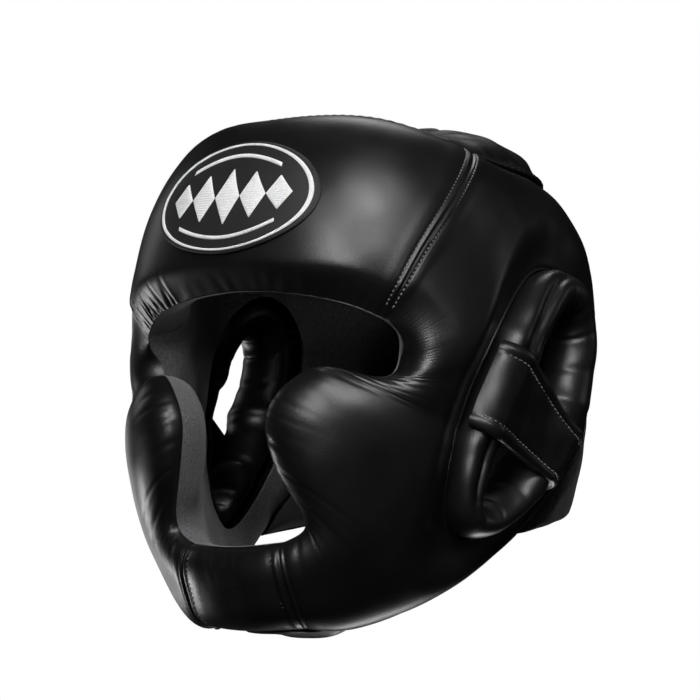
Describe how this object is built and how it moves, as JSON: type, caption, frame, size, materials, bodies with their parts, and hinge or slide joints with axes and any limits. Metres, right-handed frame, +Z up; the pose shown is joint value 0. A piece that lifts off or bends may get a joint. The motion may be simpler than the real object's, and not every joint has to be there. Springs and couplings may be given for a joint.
{
  "type": "full face boxing headgear",
  "caption": "Padded black leather boxing headgear with brow, cheek and chin guards, ring-shaped ear guards, a laced crown and a rear closure; it shields the head in sparring.",
  "frame": {"origin": "middle of the hollow that takes the head, in the level plane where the forehead pad grips it", "axes": "+Z up, the face looks along -Y, the wearer's left is +X"},
  "size_m": [0.2412, 0.2532, 0.2756],
  "materials": {
    "pad_leather": "satin black grained leather",
    "soft_leather": "softer black leather with a slight shine",
    "grey_lining": "matt grey suede-like lining",
    "black_lace": "braided black lace",
    "matt_webbing": "rough matt black hook-and-loop fabric",
    "badge_patch": "black patch with a pale stitched rim"
  },
  "bodies": {
    "root": {"forehead_pad": "pad_leather", "side_pad_left": "pad_leather", "side_pad_right": "pad_leather", "chin_guard": "pad_leather", "ear_guard_left": "soft_leather", "ear_guard_right": "soft_leather", "ear_strap_left": "soft_leather", "ear_strap_right": "soft_leather", "crown_flap_left": "soft_leather", "crown_flap_right": "soft_leather", "chin_strap": "soft_leather", "forehead_lining": "grey_lining", "side_lining_left": "grey_lining", "side_lining_right": "grey_lining", "chin_lining": "grey_lining", "crown_lace": "black_lace", "rear_closure": "matt_webbing", "brow_badge": "badge_patch"}
  },
  "joints": []
}
